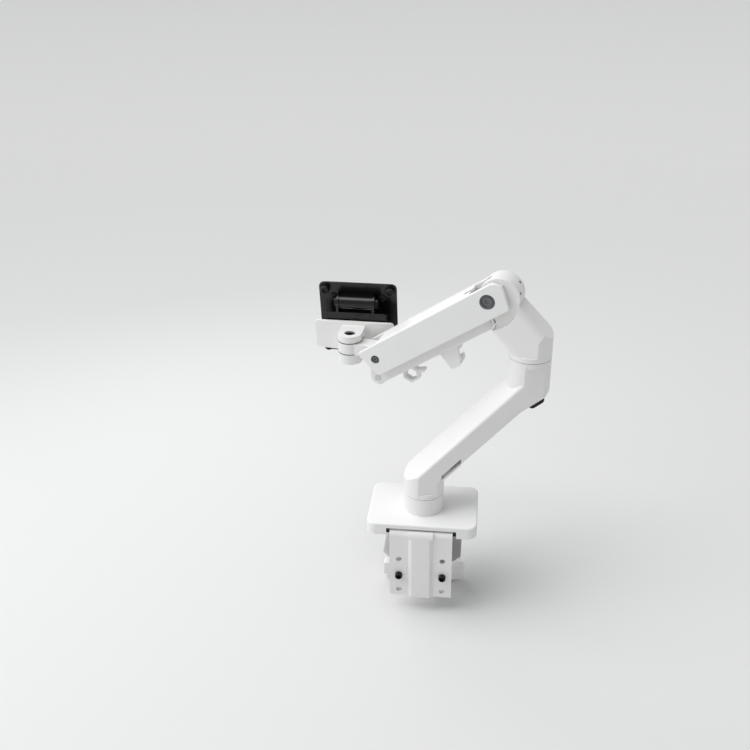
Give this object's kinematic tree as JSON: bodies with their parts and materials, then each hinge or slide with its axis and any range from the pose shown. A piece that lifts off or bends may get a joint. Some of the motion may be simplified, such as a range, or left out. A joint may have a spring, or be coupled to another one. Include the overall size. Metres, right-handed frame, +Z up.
{
  "type": "monitor arm",
  "caption": "Desk-clamp monitor arm: post, swivelling lower arm, spring-balanced parallelogram arm, panning wrist, rotating and tilting VESA plate.",
  "frame": {"origin": "desk top, under the post axis", "axes": "+Z up along the post, +Y in over the desk from its front edge, +X to the right when facing +Y"},
  "size_m": [0.3478, 0.2445, 0.4919],
  "materials": {
    "white_casting": "satin textured powder coat",
    "white_plastic": "fine moulded texture",
    "white_sheet": "satin textured powder coat",
    "grey_plastic": "fine moulded texture",
    "black_steel": "satin black coat",
    "black_plastic": "fine moulded texture",
    "dark_pin": "dark phosphate, turned",
    "steel": "turned",
    "black_screw": "black oxide",
    "spring_steel": "oiled wire",
    "rubber": "matt",
    "acetal": "plain",
    "zinc": "bright zinc"
  },
  "bodies": {
    "base": {"desk_pad": "rubber", "steel_plate": "black_steel", "base_cover": "white_plastic", "post": "white_casting", "post_screws": "zinc", "clamp_bracket": "white_sheet", "bracket_screws": "zinc", "clamp_jaw": "white_sheet", "jaw_bolts": "black_screw"},
    "clamp_foot": {"pressure_plate": "white_casting", "pressure_pad": "rubber"},
    "clamp_screw": {"clamp_screw": "zinc", "clamp_handle": "white_plastic"},
    "lower_arm": {"lower_arm": "white_casting", "cable_door": "white_plastic", "lower_strip": "white_plastic", "elbow_grommet": "rubber", "base_sleeve_low": "acetal", "base_sleeve_high": "acetal", "base_washer": "grey_plastic", "elbow_sleeve_low": "acetal", "elbow_sleeve_high": "acetal", "elbow_washer": "grey_plastic"},
    "shoulder": {"shoulder_block": "white_casting", "elbow_shaft": "steel", "elbow_retainer": "zinc", "pivot_sleeves": "acetal", "anchor_pin": "steel"},
    "spring_arm": {"beam_channel": "white_casting", "side_cover_left": "white_plastic", "side_cover_right": "white_plastic", "cover_screws": "black_screw", "shoulder_pin": "dark_pin", "front_pin": "dark_pin", "spring_seat": "black_steel"},
    "spring_rod": {"spring_rod": "steel", "coil_spring": "spring_steel", "spring_nut": "zinc"},
    "lower_link": {"lower_link": "white_casting", "link_rear_pin": "steel", "link_front_pin": "steel", "link_cover": "white_plastic", "cable_clip_front": "white_plastic", "cable_clip_rear": "white_plastic"},
    "wrist": {"wrist_block": "white_casting", "wrist_sleeves": "acetal"},
    "yoke": {"yoke": "white_casting", "wrist_pin": "black_screw", "rotation_boss": "black_plastic", "rotation_bolt": "black_screw", "friction_washer": "black_plastic"},
    "rotor": {"rotor_bracket": "black_steel", "tilt_bolt": "black_screw"},
    "tilt_head": {"tilt_barrel": "black_steel", "vesa_plate": "black_steel", "plate_screws": "black_screw"}
  },
  "joints": [
    {"name": "clamp_travel", "type": "slide", "parent": "base", "child": "clamp_foot", "axis": [0, 0, 1], "range_m": [-0.007, 0.024]},
    {"name": "clamp_turn", "type": "hinge", "parent": "clamp_foot", "child": "clamp_screw", "pos_m": [0, 0.019, -0.05], "axis": [0, 0, 1], "range_deg": [-842, 2881]},
    {"name": "base_swivel", "type": "hinge", "parent": "base", "child": "lower_arm", "pos_m": [0, 0, 0.046], "axis": [0, 0, 1], "range_deg": [-180, 180]},
    {"name": "elbow_swivel", "type": "hinge", "parent": "lower_arm", "child": "shoulder", "pos_m": [0.14204, 0.03939, 0.2496], "axis": [0, 0, 1], "range_deg": [-317, 13]},
    {"name": "lift", "type": "hinge", "parent": "shoulder", "child": "spring_arm", "pos_m": [0.08595, 0.05203, 0.331], "axis": [0.2198, 0.9755, 0], "range_deg": [-11.2, 78.8]},
    {"name": "rod_swing", "type": "hinge", "parent": "shoulder", "child": "spring_rod", "pos_m": [0.08324, 0.05264, 0.34676], "axis": [0.2198, 0.9755, 0], "range_deg": [-11.41, 79.69]},
    {"name": "link_swing", "type": "hinge", "parent": "shoulder", "child": "lower_link", "pos_m": [0.08595, 0.05203, 0.297], "axis": [0.2198, 0.9755, 0], "range_deg": [-11.3, 78.9]},
    {"name": "wrist_level", "type": "hinge", "parent": "spring_arm", "child": "wrist", "pos_m": [-0.07035, 0.08725, 0.22375], "axis": [0.2198, 0.9755, 0], "range_deg": [-78.9, 11.3]},
    {"name": "wrist_pan", "type": "hinge", "parent": "wrist", "child": "yoke", "pos_m": [-0.11815, 0.09803, 0.22375], "axis": [0, 0, 1], "range_deg": [-4, 164]},
    {"name": "head_rotate", "type": "hinge", "parent": "yoke", "child": "rotor", "pos_m": [-0.11605, 0.13807, 0.24025], "axis": [0.0523, 0.9986, 0], "range_deg": [-90, 90]},
    {"name": "head_tilt", "type": "hinge", "parent": "rotor", "child": "tilt_head", "pos_m": [-0.11543, 0.14996, 0.27525], "axis": [0.9986, -0.0523, 0], "range_deg": [-12.5, 52.5]}
  ],
  "couplings": [
    {"joint": "clamp_turn", "follows": "clamp_travel", "rad_per_m": 2094.4},
    {"joint": "rod_swing", "follows": "lift", "ratio": 1.01},
    {"joint": "link_swing", "follows": "lift", "ratio": 1},
    {"joint": "wrist_level", "follows": "lift", "ratio": -1}
  ]
}
